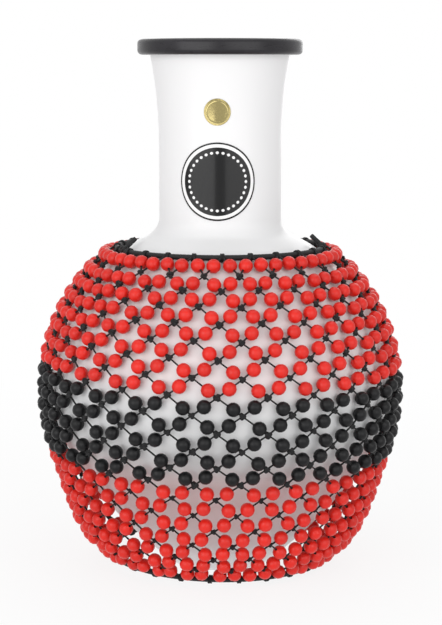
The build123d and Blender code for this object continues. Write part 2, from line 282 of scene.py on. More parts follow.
class Finishes(bpy.types.PropertyGroup):
    """Colours of the finishes."""

    gel_coat: colour("Gel coat", (0.78, 0.78, 0.785), "The shell's polished outside")
    laminate: colour("Laminate", (0.66, 0.64, 0.58), "The shell's raw inside")
    rubber: colour("Rubber", (0.014, 0.013, 0.0155), "The rim trim")
    badge: colour("Badge", (0.006, 0.006, 0.0065), "The badge's ground")
    badge_print: colour("Badge print", (0.82, 0.82, 0.82), "The badge's printed dots")
    foil: colour("Foil", (0.36, 0.3, 0.135), "The foil seal")
    bead_red: colour("Red beads", (0.64, 0.015, 0.008), "The red beads")
    bead_black: colour("Black beads", (0.0045, 0.0045, 0.0052), "The black beads")
    cord: colour("Cord", (0.005, 0.005, 0.0055), "The net's cord")
    rope: colour("Rope", (0.006, 0.006, 0.0066), "The collar and hem rope")
    floor: colour("Floor", (0.9, 0.9, 0.9), "The studio floor")


# Node helpers

def add_node(tree, kind, inputs, **settings):
    """Adds a node with its settings. An input is a value, or another node's output to link."""
    node = tree.nodes.new(kind)
    for name, value in settings.items():
        setattr(node, name, value)
    for key, value in inputs.items():
        if isinstance(value, bpy.types.NodeSocket):
            tree.links.new(value, node.inputs[key])
        else:
            node.inputs[key].default_value = value
    return node


def math_node(tree, operation, *values):
    return add_node(tree, "ShaderNodeMath", dict(enumerate(values)), operation=operation).outputs[0]


def between(tree, value, low=0.0, high=1.0, start=0.0, end=1.0):
    """Maps a value from the span start to end onto the span low to high."""
    spans = {"Value": value, "From Min": start, "From Max": end, "To Min": low, "To Max": high}
    return add_node(tree, "ShaderNodeMapRange", spans).outputs[0]


def blend_colours(tree, share, first, second):
    """Mixes two colours by a share. The node's sockets 6 and 7 are its colours."""
    inputs = {0: share, 6: first, 7: second}
    return add_node(tree, "ShaderNodeMix", inputs, data_type="RGBA").outputs[2]


def from_middle(tree, across, up):
    """How far a point lies from the middle, by its two coordinates."""
    squares = [math_node(tree, "POWER", part, 2.0) for part in (across, up)]
    return math_node(tree, "SQRT", math_node(tree, "ADD", *squares))


def noise(tree, place, scale, detail=3.0, roughness=0.5):
    inputs = {"Vector": place, "Scale": scale, "Detail": detail, "Roughness": roughness}
    return add_node(tree, "ShaderNodeTexNoise", inputs).outputs[0]


def bump(tree, height, strength, distance, below=None):
    """A bump normal, on top of another one where it is given."""
    inputs = {"Height": height, "Strength": strength, "Distance": distance}
    if below is not None:
        inputs["Normal"] = below
    return add_node(tree, "ShaderNodeBump", inputs).outputs[0]


def rgba(values, factor=1.0):
    return (*(min(1.0, part * factor) for part in values), 1.0)


def new_material(name):
    """A node material: itself, its tree, its shader and its object coordinates."""
    material = bpy.data.materials.new(name)
    material.use_nodes = True
    tree = material.node_tree
    place = tree.nodes.new("ShaderNodeTexCoord").outputs["Object"]
    return material, tree, tree.nodes["Principled BSDF"], place


def connect(tree, shader, **sockets):
    """Links outputs to a shader's inputs, named with underscores for spaces."""
    for name, output in sockets.items():
        tree.links.new(output, shader.inputs[name.replace("_", " ")])


# Finishes

def gel_coat(tint):
    """Polished white gel coat with faint mottling and orange peel."""
    material, tree, shader, place = new_material("gel_coat")
    cloud = noise(tree, place, scale=14.0)
    haze = noise(tree, place, scale=40.0, detail=4.0)
    peel = noise(tree, place, scale=260.0, detail=2.0)
    shader.inputs["Specular IOR Level"].default_value = 0.2
    connect(
        tree,
        shader,
        Base_Color=blend_colours(tree, cloud, rgba(tint), rgba(tint, 0.98)),
        Roughness=between(tree, haze, low=0.28, high=0.32, start=0.3, end=0.7),
        Normal=bump(tree, peel, strength=0.02, distance=0.0001),
    )
    return material


def laminate(tint):
    """Raw glass-fibre laminate with crossing strands."""
    material, tree, shader, place = new_material("laminate")
    turns = [(0.0, 0.0, 0.4), (0.5, 0.2, 1.7), (1.1, 0.7, 2.8)]
    strands = None
    for turn in turns:
        mapping = add_node(
            tree, "ShaderNodeMapping", {"Vector": place, "Rotation": turn, "Scale": (1.0, 0.12, 0.35)}
        )
        layer = noise(tree, mapping.outputs[0], scale=520.0, detail=4.0, roughness=0.6)
        strands = layer if strands is None else math_node(tree, "MAXIMUM", strands, layer)
    shade = between(tree, strands, start=0.45, end=0.75)
    connect(
        tree,
        shader,
        Base_Color=blend_colours(tree, shade, rgba(tint, 0.8), rgba(tint, 1.12)),
        Roughness=between(tree, strands, low=0.42, high=0.66, start=0.4, end=0.8),
        Normal=bump(tree, strands, strength=0.5, distance=0.0006),
    )
    return material


def trim_rubber(tint):
    """Extruded black rubber with fine grain and a few rubbed places."""
    material, tree, shader, place = new_material("trim_rubber")
    lengthwise = add_node(tree, "ShaderNodeMapping", {"Vector": place, "Scale": (1.0, 1.0, 5.0)}).outputs[0]
    streak = noise(tree, lengthwise, scale=120.0, detail=5.0, roughness=0.6)
    cloud = noise(tree, place, scale=45.0, detail=4.0)
    rub = between(tree, cloud, start=0.48, end=0.72)
    grain = noise(tree, place, scale=2600.0, detail=2.0)
    drawn = bump(tree, streak, strength=0.04, distance=0.0002)
    shader.inputs["Specular IOR Level"].default_value = 0.26
    connect(
        tree,
        shader,
        Base_Color=blend_colours(tree, rub, rgba(tint), rgba(tint, 1.7)),
        Roughness=between(tree, streak, low=0.26, high=0.34, start=0.35, end=0.7),
        Normal=bump(tree, grain, strength=0.04, distance=0.0001, below=drawn),
    )
    return material


def polar(tree):
    """Distance from a label's middle and angle round it, from its own map."""
    place = add_node(tree, "ShaderNodeUVMap", {}, uv_map="label").outputs[0]
    parts = add_node(tree, "ShaderNodeSeparateXYZ", {0: place}).outputs
    across = math_node(tree, "SUBTRACT", parts[0], 0.5)
    up = math_node(tree, "SUBTRACT", parts[1], 0.5)
    reach = math_node(tree, "MULTIPLY", from_middle(tree, across, up), 2.0)
    return reach, math_node(tree, "ARCTAN2", up, across)


def badge_print(tint, ink):
    """Satin black disc with a printed ring of dots, inside a white band and a fine black line."""
    material, tree, shader, place = new_material("badge_print")
    reach, angle = polar(tree)
    dots = 32
    dot_radius = 0.035
    ring_at = 0.74
    disc_edge = 0.875
    line_at = 0.956
    soft = 0.005
    swing = math_node(tree, "SINE", math_node(tree, "MULTIPLY", angle, dots / 2))
    along = math_node(tree, "MULTIPLY", swing, ring_at * 2 / dots)
    off = from_middle(tree, along, math_node(tree, "SUBTRACT", reach, ring_at))
    dot = between(tree, off, low=1.0, high=0.0, start=dot_radius - soft, end=dot_radius + soft)
    inner = between(tree, reach, start=disc_edge - soft, end=disc_edge + soft)
    outer = between(tree, reach, low=1.0, high=0.0, start=line_at - soft, end=line_at + soft)
    printed = math_node(tree, "MAXIMUM", dot, math_node(tree, "MULTIPLY", inner, outer))
    speck = noise(tree, place, scale=900.0)
    specks = bump(tree, speck, strength=0.05, distance=0.0001)
    shader.inputs["Specular IOR Level"].default_value = 0.21
    shader.inputs["Coat Weight"].default_value = 0.08
    shader.inputs["Coat Roughness"].default_value = 0.1
    connect(
        tree,
        shader,
        Base_Color=blend_colours(tree, printed, rgba(tint), rgba(ink)),
        Roughness=between(tree, speck, low=0.15, high=0.25, start=0.3, end=0.7),
        Normal=bump(tree, printed, strength=0.25, distance=0.0001, below=specks),
    )
    return material


def gold_foil(tint):
    """Embossed gold foil with a milled edge and fine crinkles."""
    material, tree, shader, place = new_material("gold_foil")
    reach, angle = polar(tree)
    tooth_count = 64.0
    ring_at = 0.76
    ring_width = 0.05
    teeth = math_node(tree, "SINE", math_node(tree, "MULTIPLY", angle, tooth_count))
    edge = between(tree, reach, start=0.84, end=0.88)
    ridges = between(tree, teeth, start=-1.0, end=1.0)
    milled = math_node(tree, "MULTIPLY", ridges, edge)
    off = math_node(tree, "ABSOLUTE", math_node(tree, "SUBTRACT", reach, ring_at))
    ring = between(tree, off, low=1.0, high=0.0, start=0.0, end=ring_width)
    crinkle = noise(tree, place, scale=700.0, detail=5.0, roughness=0.65)
    crinkles = bump(tree, crinkle, strength=0.14, distance=0.0002)
    emboss = math_node(tree, "ADD", milled, ring)
    shader.inputs["Metallic"].default_value = 1.0
    connect(
        tree,
        shader,
        Base_Color=blend_colours(tree, crinkle, rgba(tint, 0.9), rgba(tint, 1.1)),
        Roughness=between(tree, crinkle, low=0.07, high=0.17, start=0.3, end=0.7),
        Normal=bump(tree, emboss, strength=0.4, distance=0.0002, below=crinkles),
    )
    return material


def moulded_bead(name, tint, roughness, specular):
    """Moulded plastic with a grained skin, a parting line and a shade of its own for each bead."""
    material, tree, shader, place = new_material(name)
    own = add_node(tree, "ShaderNodeAttribute", {}, attribute_name="own_shade").outputs["Fac"]
    local = add_node(tree, "ShaderNodeAttribute", {}, attribute_name="own_place").outputs["Vector"]
    side = math_node(tree, "ABSOLUTE", add_node(tree, "ShaderNodeSeparateXYZ", {0: local}).outputs[0])
    seam = between(tree, side, low=1.0, high=0.0, start=0.02, end=0.05)
    grain = noise(tree, place, scale=1500.0, detail=3.0, roughness=0.6)
    dapple = noise(tree, place, scale=420.0)
    own_part = math_node(tree, "MULTIPLY", own, 0.6)
    dapple_part = math_node(tree, "MULTIPLY", dapple, 0.4)
    shade = math_node(tree, "ADD", own_part, dapple_part)
    dimples = bump(tree, dapple, strength=0.2, distance=0.0005)
    ridge = bump(tree, seam, strength=0.2, distance=0.0002, below=dimples)
    shader.inputs["Specular IOR Level"].default_value = specular
    connect(
        tree,
        shader,
        Base_Color=blend_colours(tree, shade, rgba(tint, 0.86), rgba(tint, 1.12)),
        Roughness=between(tree, grain, low=roughness - 0.06, high=roughness + 0.08, start=0.3, end=0.7),
        Normal=bump(tree, grain, strength=0.26, distance=0.0003, below=ridge),
    )
    return material


def fibre(name, tint, scale):
    """Black synthetic fibre with fine lint and worn, lighter strands."""
    material, tree, shader, place = new_material(name)
    lint = noise(tree, place, scale, detail=4.0, roughness=0.65)
    patches = noise(tree, place, scale / 8)
    worn = between(tree, patches, start=0.45, end=0.75)
    shader.inputs["Specular IOR Level"].default_value = 0.3
    shader.inputs["Sheen Weight"].default_value = 0.04
    shader.inputs["Sheen Roughness"].default_value = 0.5
    connect(
        tree,
        shader,
        Base_Color=blend_colours(tree, worn, rgba(tint), rgba(tint, 1.8)),
        Roughness=between(tree, lint, low=0.5, high=0.72, start=0.3, end=0.7),
        Normal=bump(tree, lint, strength=0.35, distance=0.0003),
    )
    return material


def finish(name):
    """A finish by name, made at its first use."""
    if name in bpy.data.materials:
        return bpy.data.materials[name]
    tints = bpy.context.scene.shekere_finishes
    makers = {
        "gel_coat": lambda: gel_coat(tints.gel_coat),
        "laminate": lambda: laminate(tints.laminate),
        "trim_rubber": lambda: trim_rubber(tints.rubber),
        "badge_print": lambda: badge_print(tints.badge, tints.badge_print),
        "gold_foil": lambda: gold_foil(tints.foil),
        "red_plastic": lambda: moulded_bead(name, tints.bead_red, roughness=0.35, specular=0.33),
        "black_plastic": lambda: moulded_bead(name, tints.bead_black, roughness=0.38, specular=0.23),
        "cord_fibre": lambda: fibre(name, tints.cord, scale=2400.0),
        "rope_fibre": lambda: fibre(name, tints.rope, scale=1800.0),
    }
    return makers[name]()


# Mesh helpers

def mesh_of(shape, name):
    """Ends a bmesh as a smooth mesh whose faces point outwards."""
    bmesh.ops.recalc_face_normals(shape, faces=shape.faces)
    for face in shape.faces:
        face.smooth = True
    mesh = bpy.data.meshes.new(name)
    shape.to_mesh(mesh)
    shape.free()
    return mesh


def link_object(name, data):
    """A new object in the scene that holds a mesh, a lamp or a camera."""
    holder = bpy.data.objects.new(name, data)
    bpy.context.scene.collection.objects.link(holder)
    return holder


def full_turn(steps):
    """The angles of a full turn in equal steps."""
    return [math.tau * step / steps for step in range(steps)]


def lathe(name, profile, segments):
    """A closed profile of radius and height pairs, turned round the Z axis."""
    shape = bmesh.new()
    rings = []
    for radius, height in profile:
        if radius < 1e-7:
            rings.append([shape.verts.new((0, 0, height))] * segments)
            continue
        spots = [(radius * math.sin(t), -radius * math.cos(t), height) for t in full_turn(segments)]
        rings.append([shape.verts.new(spot) for spot in spots])
    for first, second in zip(rings, rings[1:] + rings[:1]):
        for step in range(segments):
            after = (step + 1) % segments
            corners = [first[step], first[after], second[after], second[step]]
            corners = list(dict.fromkeys(corners))
            if len(corners) > 2:
                shape.faces.new(corners)
    return mesh_of(shape, name)


def arc(centre, radius, start, end, steps):
    """Points of an arc, with its angles in radians from the radius axis."""
    turns = [start + (end - start) * step / steps for step in range(steps + 1)]
    return [(centre[0] + radius * math.cos(t), centre[1] + radius * math.sin(t)) for t in turns]


def bezier(points, steps):
    """Points of a cubic curve given by its four control points."""
    line = []
    for step in range(steps + 1):
        t = step / steps
        weights = ((1 - t) ** 3, 3 * t * (1 - t) ** 2, 3 * t**2 * (1 - t), t**3)
        line.append(tuple(sum(w * point[axis] for w, point in zip(weights, points)) for axis in (0, 1)))
    return line


def rounded(corners, steps=6):
    """A closed profile through corners given as radius, height and rounding."""
    line = []
    count = len(corners)
    for index, (radius, height, rounding) in enumerate(corners):
        here = Vector((radius, height))
        before = Vector(corners[index - 1][:2]) - here
        after = Vector(corners[(index + 1) % count][:2]) - here
        if rounding == 0:
            line.append(tuple(here))
            continue
        half = before.angle(after) / 2
        reach = rounding / math.tan(half)
        start = here + before.normalized() * reach
        end = here + after.normalized() * reach
        middle = here + (before.normalized() + after.normalized()).normalized() * rounding / math.sin(half)
        for step in range(steps + 1):
            chord = start.lerp(end, step / steps) - middle
            line.append(tuple(middle + chord.normalized() * rounding))
    return line


def tube(shape, line, radii, sides, closed=False, bulge=None):
    """Adds a round tube along a line of points to a bmesh, with its ends capped."""
    count = len(line)
    rings = []
    side = None
    run = 0.0
    for index, point in enumerate(line):
        ahead = line[(index + 1) % count] if closed or index < count - 1 else point
        behind = line[index - 1] if closed or index else point
        along = (ahead - behind).normalized()
        side = along.orthogonal() if side is None else side - along * side.dot(along)
        side.normalize()
        up = along.cross(side)
        run += (point - line[index - 1]).length if index else 0.0
        ring = []
        for turn in full_turn(sides):
            reach = radii[index] + (bulge(turn, run) if bulge else 0.0)
            ring.append(shape.verts.new(point + (side * math.cos(turn) + up * math.sin(turn)) * reach))
        rings.append(ring)
    pairs = zip(rings, rings[1:] + rings[:1]) if closed else zip(rings, rings[1:])
    for first, second in pairs:
        for step in range(sides):
            after = (step + 1) % sides
            shape.faces.new([first[step], first[after], second[after], second[step]])
    if not closed:
        shape.faces.new(rings[0][::-1])
        shape.faces.new(rings[-1])


def trefoil(reach, steps):
    """A closed line that is tied in a trefoil, flat in X and Y."""
    flat_reach = 3
    depth = 1.3
    line = []
    for t in full_turn(steps):
        across = math.sin(t) + 2 * math.sin(2 * t)
        up = math.cos(t) - 2 * math.cos(2 * t)
        line.append(Vector((across, up, -depth * math.sin(3 * t))) * (reach / flat_reach))
    return line


def settle(piece, body, node):
    """Lets a finished piece ride on its body in the place of a node."""
    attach(piece, body)
    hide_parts(node)


def settle_mesh(name, mesh, body, node, material, crease=None):
    """Gives a mesh its finish, and settles it as a piece."""
    mesh.materials.append(finish(material))
    if crease is not None:
        mesh.set_sharp_from_angle(angle=crease)
    settle(link_object(name, mesh), body, node)


# Trees that string and tie what repeats

def new_tree(name, sockets):
    """An empty geometry tree with a geometry input and the named inputs."""
    tree = bpy.data.node_groups.new(name, "GeometryNodeTree")
    tree.interface.new_socket("Geometry", in_out="INPUT", socket_type="NodeSocketGeometry")
    for label, kind in sockets:
        tree.interface.new_socket(label, in_out="INPUT", socket_type="NodeSocket" + kind)
    tree.interface.new_socket("Geometry", in_out="OUTPUT", socket_type="NodeSocketGeometry")
    return tree, tree.nodes.new("NodeGroupInput").outputs


def point_attribute(tree, name, kind):
    inputs = {"Name": name}
    return add_node(tree, "GeometryNodeInputNamedAttribute", inputs, data_type=kind).outputs[0]


def random_between(tree, low, high, seed):
    """A random number for each point. The node's sockets 2, 3 and 8 are its limits and its seed."""
    inputs = {2: low, 3: high, 8: seed}
    return add_node(tree, "FunctionNodeRandomValue", inputs, data_type="FLOAT").outputs[1]


def placed(tree, given, selection):
    """Instances of the given shape on points, turned to their axis and facing attributes."""
    axes = {
        "Primary Axis": point_attribute(tree, "axis", "FLOAT_VECTOR"),
        "Secondary Axis": point_attribute(tree, "facing", "FLOAT_VECTOR"),
    }
    turn = add_node(tree, "FunctionNodeAxesToRotation", axes, primary_axis="Z", secondary_axis="X")
    jitter = given["Jitter"]
    low = math_node(tree, "SUBTRACT", 1.0, jitter)
    high = math_node(tree, "ADD", 1.0, jitter)
    shape = add_node(tree, "GeometryNodeObjectInfo", {"Object": given["Shape"]}).outputs["Geometry"]
    inputs = {
        "Points": given["Geometry"],
        "Instance": shape,
        "Rotation": turn.outputs[0],
        "Scale": random_between(tree, low, high, given["Seed"]),
    }
    if selection is not None:
        inputs["Selection"] = selection
    copies = add_node(tree, "GeometryNodeInstanceOnPoints", inputs).outputs[0]
    shade = random_between(tree, 0.0, 1.0, given["Seed"])
    stored = {"Geometry": copies, "Name": "own_shade", "Value": shade}
    return add_node(
        tree, "GeometryNodeStoreNamedAttribute", stored, data_type="FLOAT", domain="INSTANCE"
    ).outputs[0]


def end_tree(tree, geometry, material):
    """Makes the copies real, gives them their finish and ends the tree."""
    real = add_node(tree, "GeometryNodeRealizeInstances", {"Geometry": geometry}).outputs[0]
    done = add_node(tree, "GeometryNodeSetMaterial", {"Geometry": real, "Material": material}).outputs[0]
    add_node(tree, "NodeGroupOutput", {"Geometry": done})
    return tree


copy_sockets = [("Shape", "Object"), ("Material", "Material"), ("Jitter", "Float"), ("Seed", "Int")]
cord_sockets = [("Cord radius", "Float"), ("Cord sides", "Int")]


def strung_tree():
    """A tree that sets one shape on every point."""
    if "Strung pieces" in bpy.data.node_groups:
        return bpy.data.node_groups["Strung pieces"]
    tree, given = new_tree("Strung pieces", copy_sockets)
    return end_tree(tree, placed(tree, given, None), given["Material"])


def knotted_tree():
    """A tree that turns edges into round cord and sets a knot on each marked point."""
    if "Knotted cords" in bpy.data.node_groups:
        return bpy.data.node_groups["Knotted cords"]
    tree, given = new_tree("Knotted cords", copy_sockets + cord_sockets)
    line = add_node(tree, "GeometryNodeMeshToCurve", {"Mesh": given["Geometry"]}).outputs[0]
    ring = {"Resolution": given["Cord sides"], "Radius": given["Cord radius"]}
    section = add_node(tree, "GeometryNodeCurvePrimitiveCircle", ring).outputs[0]
    sweep = {"Curve": line, "Profile Curve": section, "Fill Caps": True}
    cord = add_node(tree, "GeometryNodeCurveToMesh", sweep).outputs[0]
    knots = placed(tree, given, point_attribute(tree, "tied", "BOOLEAN"))
    both = tree.nodes.new("GeometryNodeJoinGeometry")
    tree.links.new(cord, both.inputs[0])
    tree.links.new(knots, both.inputs[0])
    return end_tree(tree, both.outputs[0], given["Material"])


def run_tree(name, tree, points, edges, attributes, **values):
    """Runs a tree on points and edges, and returns the result as a plain piece."""
    mesh = bpy.data.meshes.new(name)
    mesh.from_pydata(points, edges, [])
    for label, (kind, items) in attributes.items():
        layer = mesh.attributes.new(label, kind, "POINT")
        field = "vector" if kind == "FLOAT_VECTOR" else "value"
        layer.data.foreach_set(field, np.array(items).ravel())
    piece = link_object(name, mesh)
    modifier = piece.modifiers.new("Build", "NODES")
    modifier.node_group = tree
    for socket in tree.interface.items_tree:
        label = socket.name.replace(" ", "_").lower()
        if label in values:
            modifier[socket.identifier] = values[label]
    graph = bpy.context.evaluated_depsgraph_get()
    result = bpy.data.meshes.new_from_object(
        piece.evaluated_get(graph), preserve_all_data_layers=True, depsgraph=graph
    )
    piece.modifiers.clear()
    piece.data = result
    result.name = name
    bpy.data.meshes.remove(mesh)
    return piece


def drop(template):
    """Removes a shape that was only there to be repeated."""
    mesh = template.data
    bpy.data.objects.remove(template)
    bpy.data.meshes.remove(mesh)


# Shell, trim and labels

def shell_profile(sizes, wall):
    """The shell's outline from the base to the flange, set in by a wall."""
    bulb = sizes.bulb_radius - wall
    foot = (sizes.base_radius - wall / 2, wall)
    fullness = 1.06
    pull = fullness * sizes.bulb_height / 3
    slope = sizes.base_slope
    foot_pull = (foot[0] + pull * math.cos(slope), foot[1] + pull * math.sin(slope))
    widest = (bulb, sizes.bulb_height)
    lower = bezier([foot, foot_pull, (bulb, sizes.bulb_height - pull), widest], steps=30)
    corner_radius = sizes.neck_radius + sizes.shoulder_fillet
    reach = sizes.bulb_radius + sizes.shoulder_fillet
    rise = math.asin(math.sqrt(reach**2 - corner_radius**2) / reach)
    corner = (corner_radius, sizes.bulb_height + reach * math.sin(rise))
    upper = arc((0, sizes.bulb_height), bulb, 0, rise, steps=26)
    shoulder = arc(corner, sizes.shoulder_fillet + wall, math.pi + rise, math.pi, steps=12)
    return lower + upper[1:] + shoulder[1:] + neck_profile(sizes, wall)


def flare_radius(sizes):
    """The radius of the neck's flare, from its rise and its step."""
    rise = flange_bottom(sizes) - sizes.flare_start
    step = sizes.neck_top_radius - sizes.neck_radius
    return (rise**2 + step**2) / (2 * step)


def flange_top(sizes):
    return cad_high.z - sizes.rim_cap


def flange_bottom(sizes):
    return flange_top(sizes) - sizes.flange_thickness


def neck_reach(sizes, height, wall=0.0):
    """The neck's radius at a height, set in by a wall."""
    flare = flare_radius(sizes)
    rise = max(0.0, height - sizes.flare_start)
    return sizes.neck_radius + flare - math.sqrt((flare + wall) ** 2 - rise**2)


def neck_profile(sizes, wall):
    """The straight and flared neck, up to the flange or through it."""
    top = flange_top(sizes) if wall else flange_bottom(sizes)
    steps = 24
    straight = 0.02
    low = sizes.flare_start - straight
    levels = [low + (top - low) * step / steps for step in range(steps + 1)]
    return [(neck_reach(sizes, level, wall), level) for level in levels]


def build_shell(sizes):
    """The hollow shell: a polished outside and a raw inside."""
    edge = sizes.neck_top_radius + sizes.flange_width
    outside = [(0, 0)] + shell_profile(sizes, 0.0)
    outside += [(edge, flange_bottom(sizes)), (edge, flange_top(sizes))]
    inside = [(0, sizes.wall)] + shell_profile(sizes, sizes.wall)
    mesh = lathe("shell_body", outside + inside[::-1], sizes.segments)
    mesh.materials.append(finish("gel_coat"))
    mesh.materials.append(finish("laminate"))
    neck_start = sizes.bulb_height + sizes.bulb_radius * 0.9
    for face in mesh.polygons:
        middle = face.center
        inner_height = middle.z if middle.z > neck_start else sizes.bulb_height
        face.material_index = int(face.normal.dot(middle - Vector((0, 0, inner_height))) < 0)
    mesh.set_sharp_from_angle(angle=math.radians(40))
    settle(link_object("shell_body", mesh), "gourd", "shell")


def build_trim(sizes):
    """The rubber channel over the flange, with rounded corners."""
    top = cad_high.z
    foot = flange_bottom(sizes) - sizes.rim_skirt
    low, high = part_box("rim_trim")
    outer = (high.x - low.x) / 2
    foot_corner = 0.0004
    groove = sizes.neck_top_radius + sizes.flange_width + sizes.rim_fit
    inside = neck_reach(sizes, foot, sizes.wall) - sizes.rim_fit
    bore = inside - sizes.rim_leg
    neck = sizes.neck_top_radius + sizes.rim_fit
    half_fit = sizes.rim_fit / 2
    corners = [
        (neck, foot, foot_corner),
        (outer, foot, sizes.rim_corner),
        (outer, top, sizes.rim_corner),
        (bore, top, sizes.rim_inner_corner),
        (bore, foot, sizes.rim_inner_corner),
        (inside, foot, 0),
        (inside, flange_top(sizes) + half_fit, 0),
        (groove, flange_top(sizes) + half_fit, 0),
        (groove, flange_bottom(sizes) - half_fit, 0),
        (neck, flange_bottom(sizes) - half_fit, 0),
    ]
    mesh = lathe("rim_rubber", rounded(corners), sizes.segments)
    settle_mesh("rim_rubber", mesh, "gourd", "rim_trim", "trim_rubber", crease=math.radians(40))


def close_label(shape, middle, circles, back):
    """Joins a label's middle, circles and back with faces."""
    steps = len(circles[0])
    for step in range(steps):
        after = (step + 1) % steps
        shape.faces.new([middle, circles[0][step], circles[0][after]])
        shape.faces.new([back, circles[-1][after], circles[-1][step]])
        for first, second in zip(circles, circles[1:]):
            shape.faces.new([first[step], second[step], second[after], first[after]])


def build_label(sizes, name, node, lift, material, rings=14, steps=72):
    """A thin round label that is bent round the neck, with a map from its own middle."""
    low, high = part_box(node)
    middle_height = (low.z + high.z) / 2
    radius = (high.z - low.z) / 2
    shape = bmesh.new()
    chart = shape.loops.layers.uv.new("label")

    def spot(reach, angle, height_over):
        level = middle_height + radius * reach * math.sin(angle)
        neck = neck_reach(sizes, level)
        turn = sizes.label_turn + radius * reach * math.cos(angle) / neck
        out = neck + height_over
        return Vector((out * math.sin(turn), -out * math.cos(turn), level))

    edge_lift = lift * 0.7
    back_lift = lift * 0.1
    layers = [(step / rings, lift) for step in range(1, rings)]
    layers += [(0.99, lift), (1.0, edge_lift), (1.0, back_lift)]
    middle = shape.verts.new(spot(0, 0, lift))
    turns = full_turn(steps)
    circles = [[shape.verts.new(spot(reach, angle, over)) for angle in turns] for reach, over in layers]
    uv_of = {middle: (0.5, 0.5)}
    for (reach, _), circle in zip(layers, circles):
        for angle, vert in zip(turns, circle):
            uv_of[vert] = (0.5 + reach * math.cos(angle) / 2, 0.5 + reach * math.sin(angle) / 2)
    back = shape.verts.new(spot(0, 0, back_lift))
    uv_of[back] = (0.5, 0.5)
    close_label(shape, middle, circles, back)
    for face in shape.faces:
        for loop in face.loops:
            loop[chart].uv = uv_of[loop.vert]
    settle_mesh(name, mesh_of(shape, name), "gourd", node, material, crease=math.radians(35))


# Beads, cords and ropes

def turned(axes, facing):
    """The point attributes by which a tree turns what it sets on the points."""
    return {"axis": ("FLOAT_VECTOR", axes), "facing": ("FLOAT_VECTOR", facing)}


def spun(directions, axes, low, high, seed):
    """Directions that are each turned about their axis by a random angle between two limits."""
    draw = np.random.default_rng(seed)
    return [
        Matrix.Rotation(draw.uniform(low, high), 3, Vector(axis)) @ Vector(way)
        for axis, way in zip(axes, directions)
    ]


def smooth(piece):
    """Shades a piece smooth, with its cut ends sharp."""
    piece.data.polygons.foreach_set("use_smooth", [True] * len(piece.data.polygons))
    piece.data.set_sharp_from_angle(angle=math.radians(65))
    return piece


def set_on_places(name, shape, places, facing, material, jitter, seed):
    """Copies of a shape on places that are each given by a middle and an axis."""
    return run_tree(
        name,
        strung_tree(),
        [centre for centre, _ in places],
        [],
        turned([axis for _, axis in places], facing),
        shape=shape,
        material=finish(material),
        jitter=jitter,
        seed=seed,
    )


def tie_cords(sizes, name, knot, points, edges, attributes, jitter, seed):
    """Round cord along edges, with a knot on each point that is marked as tied."""
    piece = run_tree(
        name,
        knotted_tree(),
        points,
        edges,
        attributes,
        shape=knot,
        material=finish("cord_fibre"),
        jitter=jitter,
        seed=seed,
        cord_radius=sizes.cord_radius,
        cord_sides=sizes.cord_sides,
    )
    return smooth(piece)


def bead_shape(sizes):
    """A bored bead of under a hundred faces, with its own coordinates from -1 to 1 kept on its points."""
    start = math.asin(sizes.bore_radius / sizes.bead_radius)
    bands = 6
    turns = [start + (math.pi - 2 * start) * step / bands for step in range(bands + 1)]
    profile = [(sizes.bead_radius * math.sin(t), sizes.bead_radius * math.cos(t)) for t in turns]
    mesh = lathe("bead", profile, sizes.bead_segments)
    places = np.empty(len(mesh.vertices) * 3)
    mesh.vertices.foreach_get("co", places)
    layer = mesh.attributes.new("own_place", "FLOAT_VECTOR", "POINT")
    layer.data.foreach_set("vector", places / sizes.bead_radius)
    mesh.set_sharp_from_angle(angle=math.radians(60))
    return link_object("bead", mesh)


def build_beads(sizes):
    """Every row of beads, one piece for each row."""
    shape = bead_shape(sizes)
    for index, row in enumerate(bead_rows):
        places = bead_places(row)
        name = f"beads_{index + 1:02d}"
        seed = sizes.seed + index
        upright = [Vector((0, 0, 1))] * len(places)
        facing = spun([outward(centre) for centre, _ in places], upright, 0, math.tau, seed)
        material = bead_finishes[slot_of[row]]
        piece = set_on_places(name, shape, places, facing, material, sizes.bead_jitter, seed)
        settle(piece, "net", row)
    drop(shape)


def knot_shape(sizes, share=1.0):
    """A pulled knot of cord with few faces, at a share of its full size."""
    shape = bmesh.new()
    steps = 15
    line = trefoil((sizes.knot_reach - sizes.knot_cord) * share, steps)
    tube(shape, line, [sizes.knot_cord * share] * steps, sides=5, closed=True)
    return link_object("knot", mesh_of(shape, "knot"))


def build_cord_row(sizes, shape, index, row, tuck):
    """One row of knots, moved inwards by a tuck, with the two cords that leave each of them."""
    swing = 0.7
    seed = sizes.seed + index
    points, edges, tied, axes, facing = [], [], [], [], []
    for knot, right, left in strand_places(row):
        start = len(points)
        ends = [end + (end - knot).normalized() * sizes.cord_tuck for end in (right, left)]
        points += [ends[0], knot - outward(knot) * tuck, ends[1]]
        edges += [(start, start + 1), (start + 1, start + 2)]
        tied += [False, True, False]
        axes += [outward(knot)] * 3
        facing += [(right - left).normalized()] * 3
    attributes = {"tied": ("BOOLEAN", tied), **turned(axes, spun(facing, axes, -swing, swing, seed))}
    name = f"cords_{index + 1:02d}"
    settle(tie_cords(sizes, name, shape, points, edges, attributes, sizes.knot_jitter, seed), "net", row)


def build_top_cords(sizes, shape):
    """The cords between the collar lashings and the first knots."""
    points, edges, axes, facing = [], [], [], []
    for top, foot in cord_places("top_cords"):
        start = len(points)
        way = (foot - top).normalized()
        points += [top - outward(top) * sizes.cord_tuck / 2, foot + way * sizes.cord_tuck]
        edges.append((start, start + 1))
        axes += [outward(top)] * 2
        facing += [way] * 2
    attributes = {"tied": ("BOOLEAN", [False] * len(points)), **turned(axes, facing)}
    piece = tie_cords(sizes, "top_cord_pairs", shape, points, edges, attributes, 0.0, sizes.seed)
    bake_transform(piece)
    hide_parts("top_cords")


